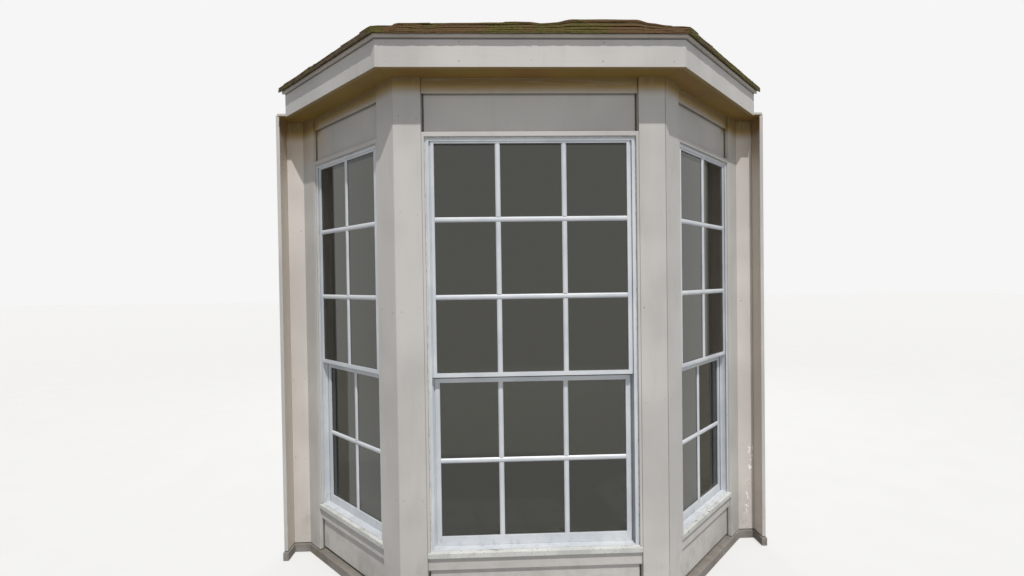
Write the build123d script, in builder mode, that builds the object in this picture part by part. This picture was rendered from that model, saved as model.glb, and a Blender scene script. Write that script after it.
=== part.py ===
from build123d import *
import os
from math import cos, radians, sin, tan

# A three-sided canted bay window of painted wood with single-hung aluminium windows.
# All sizes are in millimetres. X runs along the house wall, the front of the bay faces -Y and Z is up.
# The origin is on the ground, in the middle of the bay's width and depth.

# Plan of the bay, measured on the outer faces of its boards
front_width = 1194
cant_angle = 45
bay_depth = 635
eave_overhang = 114
roof_overhang = 26

# Plan of the cant sides, measured along them from the corner boards' outer edge
corner_side_width = 130
end_board_width = 114
corner_front_width = 120

# Boards and lining
board_thickness = 19
panel_depth = 26
panel_thickness = 12
front_panel_gap = 10
frame_setback = 10
wall_thickness = 121
wall_board_width = 89
return_board_depth = 108
siding_reach = 136

# Levels above the ground
slab_top = 45
board_bottom = 50
panel_bottom = 60
sill_back = 305
lower_glass_bottom = 349
lower_glass_top = 1040
lower_sash_top = 1076
upper_sash_bottom = 1070
upper_glass_bottom = 1088
upper_glass_top = 2096
trim_head_bottom = 2122
trim_head_top = 2143
frieze_bottom = 2312
fascia_bottom = 2372
soffit_level = 2378
mould_bottom = 2490
mould_top = 2505

# Slab, sills, stools and mouldings
slab_margin = 6
sill_projection = 2
sill_fall = 6
sill_nose_height = 23
drip_groove_width = 6
drip_groove_depth = 5
drip_groove_setback = 6
stool_thickness = 19
stool_nosing = 20
stool_horn = 30
apron_mould_height = 66
apron_mould_thickness = 14
apron_mould_cove = 9
trim_width = 13
trim_front = 1
trim_lap = 6
frieze_thickness = 14
soffit_thickness = 13
fascia_thickness = 19
mould_projection = 12

# Roof
roof_pitch = 0.5
roof_thickness = 31
wall_board_of_roof = 16

# Aluminium windows, measured inwards from the edge of the wall opening or from the outer board face
frame_gap = 0.5
frame_lip_outset = 19
frame_lip_inset = 31
frame_pocket_inset = 25
head_lip_outset = 12
head_lip_inset = 23
head_pocket_inset = 17
foot_pocket_inset = 3
foot_lip_inset = 14
frame_lip_depth = 4
sash_pocket_depth = 30.5
parting_rib_depth = 2.5
inner_lip_depth = 9.5
sash_thickness = 30
stile_groove_inset = 38
stile_groove_depth = 6
upper_glass_inset = 52
lower_glass_inset = 59
glass_rebate_width = 4
glass_rebate_depth = 23
glass_thickness = 6

# Clearances between pieces
seat_gap = 0.25
sash_gap = 0.3
open_corner_joint = 2

# Worked-out places
front_half = front_width / 2
turn = radians(cant_angle)
mitre_slope = tan(turn / 2)
eave_out = eave_overhang + roof_overhang
back_y = (bay_depth + eave_out) / 2
face_y = back_y - bay_depth
siding_y = back_y - siding_reach
wall_board_y = back_y - board_thickness
core_depth = panel_depth + panel_thickness
side_length = (bay_depth - board_thickness) / sin(turn)
front_recess = front_width - 2 * corner_front_width
side_recess = side_length - corner_side_width - end_board_width
frame_top = trim_head_bottom + trim_lap
plate_top = soffit_level + soffit_thickness
sill_underside = sill_back - sill_fall - sill_nose_height


def mitre(side, depth):
    """Plan point on the corner's mitre line, at a depth behind the outer board faces."""
    return (side * (front_half - depth * mitre_slope), face_y + depth)


def cant_point(side, along, depth):
    """Plan point on a cant side, at a distance along it from the corner."""
    x = front_half + along * cos(turn) - depth * sin(turn)
    y = face_y + along * sin(turn) + depth * cos(turn)
    return (side * x, y)


def cant_at(side, y, depth):
    """Plan point where a cant side's line at some depth reaches the given Y."""
    along = (y - face_y - depth * cos(turn)) / sin(turn)
    return cant_point(side, along, depth)


def wall_plane(name):
    """Upright plane on the outer board face of one wall, centred on its recess."""
    if name == "front":
        return Plane(origin=(0, face_y, 0), x_dir=(1, 0, 0), z_dir=(0, -1, 0))
    side = 1 if name == "right" else -1
    centre = cant_point(side, corner_side_width + side_recess / 2, 0)
    along = (cos(turn), side * sin(turn), 0)
    outward = (side * sin(turn), -cos(turn), 0)
    return Plane(origin=(*centre, 0), x_dir=along, z_dir=outward)


def section_plane(name):
    """Plane across one wall: x runs inwards from the board face and y is up."""
    wall = wall_plane(name)
    return Plane(origin=wall.origin, x_dir=-wall.z_dir, z_dir=wall.x_dir)


walls = ("front", "left", "right")
sides = {"left": -1, "right": 1}
recess = {"front": front_recess, "left": side_recess, "right": side_recess}


def keep(part, name):
    """Label a finished piece and write its file."""
    part.label = name
    export_step(part, f"parts/{name}.step")


def plan_prism(outline, bottom, top):
    """Upright solid over a closed plan outline."""
    with BuildPart() as prism:
        with BuildSketch(Plane.XY.offset(bottom)):
            with BuildLine():
                Polyline(*outline, close=True)
            make_face()
        extrude(amount=top - bottom)
    return prism.part


def wall_panel(name, width, bottom, top, depth, thickness):
    """Upright board in one wall, from a depth behind the outer face."""
    with BuildPart() as panel:
        with BuildSketch(wall_plane(name).offset(-depth)):
            with Locations((0, (bottom + top) / 2)):
                Rectangle(width, top - bottom)
        extrude(amount=-thickness)
    return panel.part


def wall_moulding(name, outline, length):
    """Moulding along one wall, from its section of depth and height points."""
    with BuildPart() as moulding:
        with BuildSketch(section_plane(name)):
            with BuildLine():
                Polyline(*outline, close=True)
            make_face()
        extrude(amount=length / 2, both=True)
    return moulding.part


def three(make):
    """The like pieces of the three walls, as separate solids in one node."""
    return Compound(children=[make(name) for name in walls])


def pair(make):
    """The like pieces of the two sides, as separate solids in one node."""
    return Compound(children=[make(side) for side in sides.values()])


os.makedirs("parts", exist_ok=True)

# Foundation slab in the bay's outline, with a lug under each return board
post_line = front_half + bay_depth - board_thickness
wall_board_end = post_line + wall_board_width
return_outer = wall_board_end + board_thickness


def slab_side(side):
    """Slab outline of one side, from the corner to the back."""
    return [
        mitre(side, -slab_margin),
        cant_at(side, wall_board_y - slab_margin, -slab_margin),
        (side * (wall_board_end - slab_margin), wall_board_y - slab_margin),
        (side * (wall_board_end - slab_margin), back_y - return_board_depth - slab_margin),
        (side * (return_outer + slab_margin), back_y - return_board_depth - slab_margin),
        (side * (return_outer + slab_margin), back_y),
    ]


slab_outline = slab_side(1) + slab_side(-1)[::-1]
foundation_slab = plan_prism(slab_outline, 0, slab_top)
keep(foundation_slab, "foundation_slab")

# Corner posts between the front and the cant sides, and posts at the wall
side_recess_end = corner_side_width + side_recess
for name, side in sides.items():
    corner_core = [
        (side * front_recess / 2, face_y + board_thickness),
        mitre(side, board_thickness),
        cant_point(side, corner_side_width, board_thickness),
        cant_point(side, corner_side_width, wall_thickness),
        mitre(side, wall_thickness),
        (side * front_recess / 2, face_y + wall_thickness),
    ]
    keep(plan_prism(corner_core, slab_top, plate_top), f"corner_post_{name}")
    wall_core = [
        cant_point(side, side_recess_end, board_thickness),
        cant_at(side, back_y, board_thickness),
        cant_at(side, back_y, wall_thickness),
        cant_point(side, side_recess_end, wall_thickness),
    ]
    keep(plan_prism(wall_core, slab_top, plate_top), f"wall_post_{name}")


def corner_front_board(side):
    joint = open_corner_joint if side > 0 else 0
    back_end = mitre(side, board_thickness)
    outline = [
        (side * front_recess / 2, face_y),
        (side * (front_half - joint), face_y),
        (back_end[0] - side * joint, back_end[1]),
        (side * front_recess / 2, face_y + board_thickness),
    ]
    return plan_prism(outline, board_bottom, soffit_level)


def corner_side_board(side):
    outline = [
        mitre(side, 0),
        cant_point(side, corner_side_width, 0),
        cant_point(side, corner_side_width, board_thickness),
        mitre(side, board_thickness),
    ]
    return plan_prism(outline, board_bottom, soffit_level)


def end_board(side):
    outline = [
        cant_point(side, side_recess_end, 0),
        cant_at(side, wall_board_y, 0),
        cant_at(side, wall_board_y, board_thickness),
        cant_point(side, side_recess_end, board_thickness),
    ]
    return plan_prism(outline, board_bottom, soffit_level)


def wall_board(side):
    outline = [
        cant_at(side, wall_board_y, board_thickness),
        (side * wall_board_end, wall_board_y),
        (side * wall_board_end, back_y),
        cant_at(side, back_y, board_thickness),
    ]
    return plan_prism(outline, board_bottom, soffit_level)


def return_board(side):
    outline = [
        (side * wall_board_end, back_y - return_board_depth),
        (side * return_outer, back_y - return_board_depth),
        (side * return_outer, back_y),
        (side * wall_board_end, back_y),
    ]
    return plan_prism(outline, board_bottom, plate_top)


keep(pair(corner_front_board), "corner_front_boards")
keep(pair(corner_side_board), "corner_side_boards")
keep(pair(end_board), "end_boards")
keep(pair(wall_board), "wall_boards")
keep(pair(return_board), "return_boards")

# Knee walls under the windows, and the headers over them
for name in walls:
    width = recess[name] - 2 * seat_gap
    depth = wall_thickness - core_depth
    keep(wall_panel(name, width, slab_top, sill_underside, core_depth, depth), f"knee_wall_{name}")
    header_bottom = frame_top + seat_gap
    keep(wall_panel(name, width, header_bottom, plate_top, core_depth, depth), f"header_{name}")


# Recessed panels, with the front ones cut short of the corner boards
panel_gap = {"front": front_panel_gap, "left": seat_gap, "right": seat_gap}


def apron_panel(name):
    width = recess[name] - 2 * panel_gap[name]
    return wall_panel(name, width, panel_bottom, sill_underside, panel_depth, panel_thickness)


def head_panel(name):
    width = recess[name] - 2 * panel_gap[name]
    bottom = frame_top + seat_gap
    return wall_panel(name, width, bottom, plate_top, panel_depth, panel_thickness)


def frieze_board(name):
    width = recess[name] - 2 * seat_gap
    depth = panel_depth - frieze_thickness
    return wall_panel(name, width, frieze_bottom, soffit_level, depth, frieze_thickness)


def apron_moulding(name):
    """Flat board under the sill with a cove along its foot."""
    back = panel_depth
    front = panel_depth - apron_mould_thickness
    foot = sill_underside - apron_mould_height
    cove_start = (front, foot + apron_mould_cove)
    cove_end = (front + apron_mould_cove, foot)
    cove_middle = (front + apron_mould_cove * cos(radians(45)), foot + apron_mould_cove * sin(radians(45)))
    with BuildPart() as moulding:
        with BuildSketch(section_plane(name)):
            with BuildLine():
                Polyline(cove_end, (back, foot), (back, sill_underside), (front, sill_underside), cove_start)
                ThreePointArc(cove_start, cove_middle, cove_end)
            make_face()
        extrude(amount=recess[name] / 2 - seat_gap, both=True)
    return moulding.part


keep(three(apron_panel), "apron_panels")
keep(three(head_panel), "head_panels")
keep(three(frieze_board), "frieze_boards")
keep(three(apron_moulding), "apron_mouldings")

# Sloping wooden sills with a drip groove, and the stools inside
sill_nose_top = sill_back - sill_fall
groove_start = -sill_projection + drip_groove_setback
for name in walls:
    sill_outline = [
        (wall_thickness, sill_underside),
        (wall_thickness, sill_back),
        (frame_setback, sill_back),
        (-sill_projection, sill_nose_top),
        (-sill_projection, sill_underside),
        (groove_start, sill_underside),
        (groove_start, sill_underside + drip_groove_depth),
        (groove_start + drip_groove_width, sill_underside + drip_groove_depth),
        (groove_start + drip_groove_width, sill_underside),
    ]
    keep(wall_moulding(name, sill_outline, recess[name] - 2 * seat_gap), f"window_sill_{name}")

frame_depth = frame_lip_depth + 2 * sash_pocket_depth + parting_rib_depth + inner_lip_depth
frame_back = frame_setback + frame_depth


def window_stool(name):
    front = frame_back + seat_gap
    depth = wall_thickness + stool_nosing - front
    inner = recess[name] - 2 * seat_gap
    room_side = Plane(origin=(0, back_y, 0), x_dir=(1, 0, 0), z_dir=(0, -1, 0))
    with BuildPart() as stool:
        with BuildSketch(wall_plane(name).offset(-front)):
            with Locations((0, sill_back + stool_thickness / 2)):
                Rectangle(inner, stool_thickness)
        extrude(amount=-depth)
        with BuildSketch(wall_plane(name).offset(-wall_thickness)):
            with Locations((0, sill_back + stool_thickness / 2)):
                Rectangle(inner + 2 * stool_horn, stool_thickness)
        extrude(amount=-stool_nosing)
        split(bisect_by=room_side, keep=Keep.TOP)
    return stool.part


keep(three(window_stool), "window_stools")


# Wooden stop around each window, with its feet cut to the slope of the sill and a cap over the frame
def trim_surround(name):
    half = recess[name] / 2
    slope_point = wall_plane(name).offset(-frame_setback)
    inward = -slope_point.z_dir
    fall = sill_fall / (frame_setback + sill_projection)
    slope_normal = Vector(0, 0, 1) - inward * fall
    sill_slope = Plane(origin=slope_point.origin + Vector(0, 0, sill_back + seat_gap),
                       x_dir=slope_point.x_dir, z_dir=slope_normal)
    foot = sill_nose_top
    flange_depth = frame_setback + frame_lip_depth
    cap_bottom = frame_top + seat_gap
    with BuildPart() as trim:
        with BuildSketch(wall_plane(name).offset(-trim_front)):
            with Locations((0, (foot + trim_head_top) / 2)):
                Rectangle(2 * (half - seat_gap), trim_head_top - foot)
            with Locations((0, (foot + trim_head_bottom) / 2)):
                Rectangle(2 * (half - trim_width), trim_head_bottom - foot, mode=Mode.SUBTRACT)
        extrude(amount=trim_front - flange_depth)
        split(bisect_by=sill_slope, keep=Keep.TOP)
        with BuildSketch(wall_plane(name).offset(-flange_depth)):
            with Locations((0, (cap_bottom + trim_head_top) / 2)):
                Rectangle(2 * (half - seat_gap), trim_head_top - cap_bottom)
        extrude(amount=flange_depth - panel_depth)
    return trim.part


keep(three(trim_surround), "window_trim")


# Single-hung windows: an extruded frame with two sash tracks, an outer upper sash and an inner lower one
def window_frame(name):
    half = recess[name] / 2
    wall = wall_plane(name)
    lip = (frame_lip_inset, head_lip_inset)
    pocket = (frame_pocket_inset, head_pocket_inset)
    layers = (
        (frame_lip_depth, lip, foot_pocket_inset, frame_lip_outset, head_lip_outset),
        (sash_pocket_depth, pocket, foot_pocket_inset, frame_gap, 0),
        (parting_rib_depth, lip, foot_pocket_inset, frame_gap, 0),
        (sash_pocket_depth, pocket, foot_pocket_inset, frame_gap, 0),
        (inner_lip_depth, lip, foot_lip_inset, frame_gap, 0),
    )
    with BuildPart() as frame:
        depth = frame_setback
        for thickness, (side_inset, head_inset), foot_inset, side_outset, head_outset in layers:
            low = sill_back + foot_inset
            high = frame_top - head_inset
            top = frame_top - head_outset
            with BuildSketch(wall.offset(-depth)):
                with Locations((0, (sill_back + top) / 2)):
                    Rectangle(2 * (half - side_outset), top - sill_back)
                with Locations((0, (low + high) / 2)):
                    Rectangle(2 * (half - side_inset), high - low, mode=Mode.SUBTRACT)
            extrude(amount=-thickness)
            depth += thickness
    return frame.part


def sash(name, depth, bottom, top, glass_inset, glass_bottom, glass_top):
    """Sash with a groove down the outer edge of each stile and a rebate behind for the glass."""
    half = recess[name] / 2
    wall = wall_plane(name)
    middle = (bottom + top) / 2
    sash_half = half - frame_pocket_inset - sash_gap
    groove_edge = half - stile_groove_inset
    glass_middle = (glass_bottom + glass_top) / 2
    glass_height = glass_top - glass_bottom
    with BuildPart() as frame:
        with BuildSketch(wall.offset(-depth)):
            with Locations((0, middle)):
                Rectangle(2 * sash_half, top - bottom)
            with Locations((0, glass_middle)):
                Rectangle(2 * (half - glass_inset), glass_height, mode=Mode.SUBTRACT)
        extrude(amount=-sash_thickness)
        with BuildSketch(wall.offset(-depth)):
            groove_middle = (sash_half + groove_edge) / 2
            with Locations((-groove_middle, middle), (groove_middle, middle)):
                Rectangle(sash_half - groove_edge, top - bottom)
        extrude(amount=-stile_groove_depth, mode=Mode.SUBTRACT)
        with BuildSketch(wall.offset(-depth - sash_thickness)):
            with Locations((0, glass_middle)):
                Rectangle(2 * (half - glass_inset + glass_rebate_width), glass_height + 2 * glass_rebate_width)
        extrude(amount=glass_rebate_depth, mode=Mode.SUBTRACT)
    return frame.part


def glass_pane(name, depth, glass_inset, bottom, top):
    half = recess[name] / 2 - glass_inset + glass_rebate_width - sash_gap
    rebate = glass_rebate_width - sash_gap
    lip = sash_thickness - glass_rebate_depth
    return wall_panel(name, 2 * half, bottom - rebate, top + rebate, depth + lip + seat_gap, glass_thickness)


upper_sash_depth = frame_setback + frame_lip_depth + seat_gap
lower_sash_depth = upper_sash_depth + sash_pocket_depth + parting_rib_depth
upper_sash_top = frame_top - head_pocket_inset - sash_gap
lower_sash_bottom = sill_back + foot_pocket_inset + sash_gap
for name in walls:
    keep(window_frame(name), f"window_frame_{name}")
    keep(sash(name, upper_sash_depth, upper_sash_bottom, upper_sash_top,
              upper_glass_inset, upper_glass_bottom, upper_glass_top), f"upper_sash_{name}")
    keep(sash(name, lower_sash_depth, lower_sash_bottom, lower_sash_top,
              lower_glass_inset, lower_glass_bottom, lower_glass_top), f"lower_sash_{name}")
    panes = [
        glass_pane(name, upper_sash_depth, upper_glass_inset, upper_glass_bottom, upper_glass_top),
        glass_pane(name, lower_sash_depth, lower_glass_inset, lower_glass_bottom, lower_glass_top),
    ]
    keep(Compound(children=panes), f"window_glass_{name}")

# Soffit under the eaves and ceiling inside the bay
eave_inner = fascia_thickness - eave_overhang
soffit_front = [
    mitre(-1, eave_inner),
    mitre(1, eave_inner),
    mitre(1, board_thickness),
    mitre(-1, board_thickness),
]
keep(plan_prism(soffit_front, soffit_level, plate_top), "soffit_front")
for name, side in sides.items():
    soffit_side = [
        mitre(side, eave_inner),
        cant_at(side, siding_y, eave_inner),
        (side * wall_board_end, siding_y),
        (side * wall_board_end, back_y),
        cant_at(side, back_y, board_thickness),
        mitre(side, board_thickness),
    ]
    keep(plan_prism(soffit_side, soffit_level, plate_top), f"soffit_{name}")

ceiling_outline = [
    mitre(-1, wall_thickness),
    mitre(1, wall_thickness),
    cant_at(1, back_y, wall_thickness),
    cant_at(-1, back_y, wall_thickness),
]
keep(plan_prism(ceiling_outline, soffit_level, plate_top), "ceiling")


# Hip roof in three faces that dies into the house wall
def roof_slope(name, level, depth):
    """Sloping plane through a line at some level and depth of one wall."""
    wall = wall_plane(name)
    inward = -wall.z_dir
    normal = Vector(0, 0, 1) - inward * roof_pitch
    origin = wall.origin + inward * depth + Vector(0, 0, level)
    return Plane(origin=origin, x_dir=wall.x_dir, z_dir=normal)


def eave_outline(name, outer, inner):
    """Plan outline of a strip along one wall's eave, mitred at the corners and cut at the siding."""
    if name == "front":
        return [mitre(-1, outer), mitre(1, outer), mitre(1, inner), mitre(-1, inner)]
    side = sides[name]
    return [
        mitre(side, outer),
        cant_at(side, siding_y, outer),
        cant_at(side, siding_y, inner),
        mitre(side, inner),
    ]


mould_depth = -eave_overhang - mould_projection
hip_half = mitre(1, siding_y - face_y)[0]
roof_rise_limit = mould_top + roof_thickness + roof_pitch * (bay_depth + eave_out)


def fascia_board(name):
    with BuildPart() as board:
        with BuildSketch(Plane.XY.offset(fascia_bottom)):
            with BuildLine():
                Polyline(*eave_outline(name, -eave_overhang, eave_inner), close=True)
            make_face()
        extrude(amount=mould_top + eave_overhang - fascia_bottom)
        split(bisect_by=roof_slope(name, mould_top, mould_depth), keep=Keep.BOTTOM)
    return board.part


def mould_strip(name):
    outline = eave_outline(name, mould_depth, -eave_overhang)
    with BuildPart() as strip:
        with BuildSketch(Plane.XY.offset(mould_bottom)):
            with BuildLine():
                Polyline(*outline, close=True)
            make_face()
            offset(amount=-seat_gap, kind=Kind.INTERSECTION)
        extrude(amount=mould_top - mould_bottom)
    return strip.part


def roof_face(name):
    if name == "front":
        outline = [mitre(-1, -eave_out), mitre(1, -eave_out), (hip_half, siding_y), (-hip_half, siding_y)]
    else:
        side = sides[name]
        outline = [mitre(side, -eave_out), cant_at(side, siding_y, -eave_out), (side * hip_half, siding_y)]
    with BuildPart() as face:
        with BuildSketch(Plane.XY.offset(soffit_level)):
            with BuildLine():
                Polyline(*outline, close=True)
            make_face()
        extrude(amount=roof_rise_limit - soffit_level)
        split(bisect_by=roof_slope(name, mould_top, mould_depth), keep=Keep.TOP)
        split(bisect_by=roof_slope(name, mould_top + roof_thickness, mould_depth), keep=Keep.BOTTOM)
    return face.part


for name in walls:
    keep(fascia_board(name), f"fascia_{name}")
    keep(roof_face(name), f"roof_{name}")
keep(three(mould_strip), "eave_mould")

# Board behind the roof that closes it against the wall
eave_half = cant_at(1, siding_y, -eave_overhang)[0]
roof_ridge = mould_top + roof_pitch * (siding_y - face_y - mould_depth)
roof_at_eave = mould_top + roof_pitch * mould_projection
wall_outline = [
    (-eave_half, plate_top),
    (eave_half, plate_top),
    (eave_half, roof_at_eave),
    (hip_half, roof_ridge),
    (-hip_half, roof_ridge),
    (-eave_half, roof_at_eave),
]
with BuildPart() as roof_wall_board:
    with BuildSketch(Plane(origin=(0, siding_y, 0), x_dir=(1, 0, 0), z_dir=(0, -1, 0))):
        with BuildLine():
            Polyline(*wall_outline, close=True)
        make_face()
    extrude(amount=-wall_board_of_roof)
keep(roof_wall_board.part, "roof_wall_board")
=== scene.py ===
import math
import random

import bmesh
import bpy
from mathutils import Matrix, Vector, noise


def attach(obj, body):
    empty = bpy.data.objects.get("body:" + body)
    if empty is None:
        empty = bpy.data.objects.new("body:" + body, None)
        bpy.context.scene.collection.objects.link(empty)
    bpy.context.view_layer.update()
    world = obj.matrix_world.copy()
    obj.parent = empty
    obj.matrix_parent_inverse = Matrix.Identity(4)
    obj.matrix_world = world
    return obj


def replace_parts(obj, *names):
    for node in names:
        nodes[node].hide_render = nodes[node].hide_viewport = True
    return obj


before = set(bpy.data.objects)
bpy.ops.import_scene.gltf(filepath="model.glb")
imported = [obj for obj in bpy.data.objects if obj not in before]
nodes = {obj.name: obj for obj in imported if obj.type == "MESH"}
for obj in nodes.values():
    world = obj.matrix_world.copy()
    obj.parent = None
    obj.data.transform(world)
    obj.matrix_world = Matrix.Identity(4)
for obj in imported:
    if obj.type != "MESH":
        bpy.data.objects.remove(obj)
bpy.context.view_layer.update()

# The bay's driving sizes from the part's source, in metres; the roof's thickness is taken straight down
TURN = math.radians(45)
FRONT_WIDTH = 1.194
BAY_DEPTH = 0.635
BOARD_THICKNESS = 0.019
CORNER_FRONT = 0.120
CORNER_SIDE = 0.130
END_BOARD = 0.114
RETURN_BOARD_DEPTH = 0.108
SIDING_REACH = 0.136
EAVE_OVERHANG = 0.114
ROOF_OVERHANG = 0.026
ROOF_THICKNESS = 0.031
MOULD_PROJECTION = 0.012
PITCH = 0.5
TRIM_WIDTH = 0.013

# Levels above the ground
SILL_BACK = 0.305
TRIM_HEAD = 2.122
FRIEZE_BOTTOM = 2.312
FASCIA_BOTTOM = 2.372
SOFFIT_LEVEL = 2.378
MOULD_BOTTOM = 2.490
MOULD_TOP = 2.505

# Depths behind the board face, where the lower sash stands one track further in than the upper one
FRIEZE_FACE = 0.012
FLANGE_FACE = 0.014
UPPER_FACE = 0.01425
TRACK_STEP = 0.033
LOWER_FACE = UPPER_FACE + TRACK_STEP
PANE_IN_SASH = 0.00725
PANE_THICKNESS = 0.006

# Places worked out from them; the roof's drop is its thickness across the slope
MITRE = math.tan(TURN / 2)
SLOPE = math.atan(PITCH)
FRONT_HALF = FRONT_WIDTH / 2
EAVE_OUT = EAVE_OVERHANG + ROOF_OVERHANG
EAVE_TOP = MOULD_TOP + ROOF_THICKNESS - PITCH * (ROOF_OVERHANG - MOULD_PROJECTION)
BACK_Y = (BAY_DEPTH + EAVE_OUT) / 2
FACE_Y = BACK_Y - BAY_DEPTH
RETURN_FRONT_Y = BACK_Y - RETURN_BOARD_DEPTH
ROOF_DEPTH = BAY_DEPTH - SIDING_REACH
ROOF_DROP = ROOF_THICKNESS * math.cos(SLOPE)
SIDE_LENGTH = (BAY_DEPTH - BOARD_THICKNESS) / math.sin(TURN)
SIDE_RECESS = SIDE_LENGTH - CORNER_SIDE - END_BOARD
CANT_MIDDLE = CORNER_SIDE + SIDE_RECESS / 2
SIDES = {"left": -1, "right": 1}
RECESS = {"front": FRONT_WIDTH - 2 * CORNER_FRONT, "left": SIDE_RECESS, "right": SIDE_RECESS}


def wall_frame(wall):
    """Local x runs along the wall, y into it from the board face and z up, from mid-recess on the ground."""
    if wall == "front":
        return Matrix.Translation((0, FACE_Y, 0))
    side = SIDES[wall]
    x = side * (FRONT_HALF + CANT_MIDDLE * math.cos(TURN))
    y = FACE_Y + CANT_MIDDLE * math.sin(TURN)
    return Matrix.Translation((x, y, 0)) @ Matrix.Rotation(side * TURN, 4, "Z")


WALLS = {wall: wall_frame(wall) for wall in RECESS}


# Meshes


class Shape:
    """The points and faces of one piece, gathered solid by solid."""

    def __init__(self):
        self.points = []
        self.faces = []

    def add(self, points, faces):
        start = len(self.points)
        self.points += [tuple(p) for p in points]
        self.faces += [[start + i for i in face] for face in faces]

    def loft(self, rings):
        """Closed solid through rings of equal length."""
        n = len(rings[0])
        faces = [list(range(n))[::-1]]
        for r in range(len(rings) - 1):
            a, b = r * n, (r + 1) * n
            faces += [[a + i, a + (i + 1) % n, b + (i + 1) % n, b + i] for i in range(n)]
        last = (len(rings) - 1) * n
        faces.append([last + i for i in range(n)])
        self.add([p for ring in rings for p in ring], faces)

    def sheet(self, top, bottom):
        """Closed solid between two grids of points."""
        rows, cols = len(top), len(top[0])
        under = rows * cols
        faces = []
        for i in range(rows - 1):
            for j in range(cols - 1):
                a, b = i * cols + j, (i + 1) * cols + j
                faces.append([a, a + 1, b + 1, b])
                faces.append([under + b, under + b + 1, under + a + 1, under + a])
        for j in range(cols - 1):
            a, b = j, (rows - 1) * cols + j
            faces.append([a + 1, a, under + a, under + a + 1])
            faces.append([b, b + 1, under + b + 1, under + b])
        for i in range(rows - 1):
            a, b = i * cols, (i + 1) * cols
            faces.append([a, b, under + b, under + a])
            faces.append([b + cols - 1, a + cols - 1, under + a + cols - 1, under + b + cols - 1])
        points = [p for row in top for p in row] + [p for row in bottom for p in row]
        self.add(points, faces)


def placed(name, data):
    """A new object in the scene."""
    obj = bpy.data.objects.new(name, data)
    bpy.context.scene.collection.objects.link(obj)
    return obj


def piece(name, shape, material, smooth=30.0):
    """Makes a mesh piece that rides on the root body; edges sharper than smooth degrees stay sharp."""
    mesh = bpy.data.meshes.new(name)
    mesh.from_pydata(shape.points, [], shape.faces)
    bm = bmesh.new()
    bm.from_mesh(mesh)
    bmesh.ops.recalc_face_normals(bm, faces=bm.faces)
    bm.to_mesh(mesh)
    bm.free()
    mesh.polygons.foreach_set("use_smooth", [True] * len(mesh.polygons))
    mesh.set_sharp_from_angle(angle=math.radians(smooth))
    mesh.materials.append(material)
    obj = placed(name, mesh)
    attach(obj, "root")
    return obj


def soften(obj, width):
    """Rounds the sharp edges of a piece by a small radius."""
    bevel = obj.modifiers.new("edges", "BEVEL")
    bevel.width = width
    bevel.segments = 2
    bevel.limit_method = "ANGLE"
    bevel.angle_limit = math.radians(32)
    bevel.harden_normals = True


# Materials


class Nodes:
    """Short calls for the nodes of one shader tree."""

    def __init__(self, tree):
        self.tree = tree
        tree.nodes.clear()

    def put(self, socket, value):
        if isinstance(value, bpy.types.NodeSocket):
            self.tree.links.new(value, socket)
        elif isinstance(value, (tuple, list)) and len(value) == 3 and socket.type == "RGBA":
            socket.default_value = (*value, 1.0)
        else:
            socket.default_value = value

    def node(self, kind, inputs=None, **settings):
        made = self.tree.nodes.new(kind)
        for key, value in settings.items():
            setattr(made, key, value)
        for key, value in (inputs or {}).items():
            self.put(made.inputs[key], value)
        return made

    def math(self, operation, a, b=0.0):
        return self.node("ShaderNodeMath", {0: a, 1: b}, operation=operation).outputs[0]

    def product(self, first, *others):
        for other in others:
            first = self.math("MULTIPLY", first, other)
        return first

    def seen(self):
        """1 for rays from the camera, off a gloss or through glass, and 0 for those that light things."""
        rays = self.node("ShaderNodeLightPath").outputs
        straight = self.math("MAXIMUM", rays["Is Camera Ray"], rays["Is Glossy Ray"])
        return self.math("MAXIMUM", straight, rays["Is Transmission Ray"])


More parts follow.
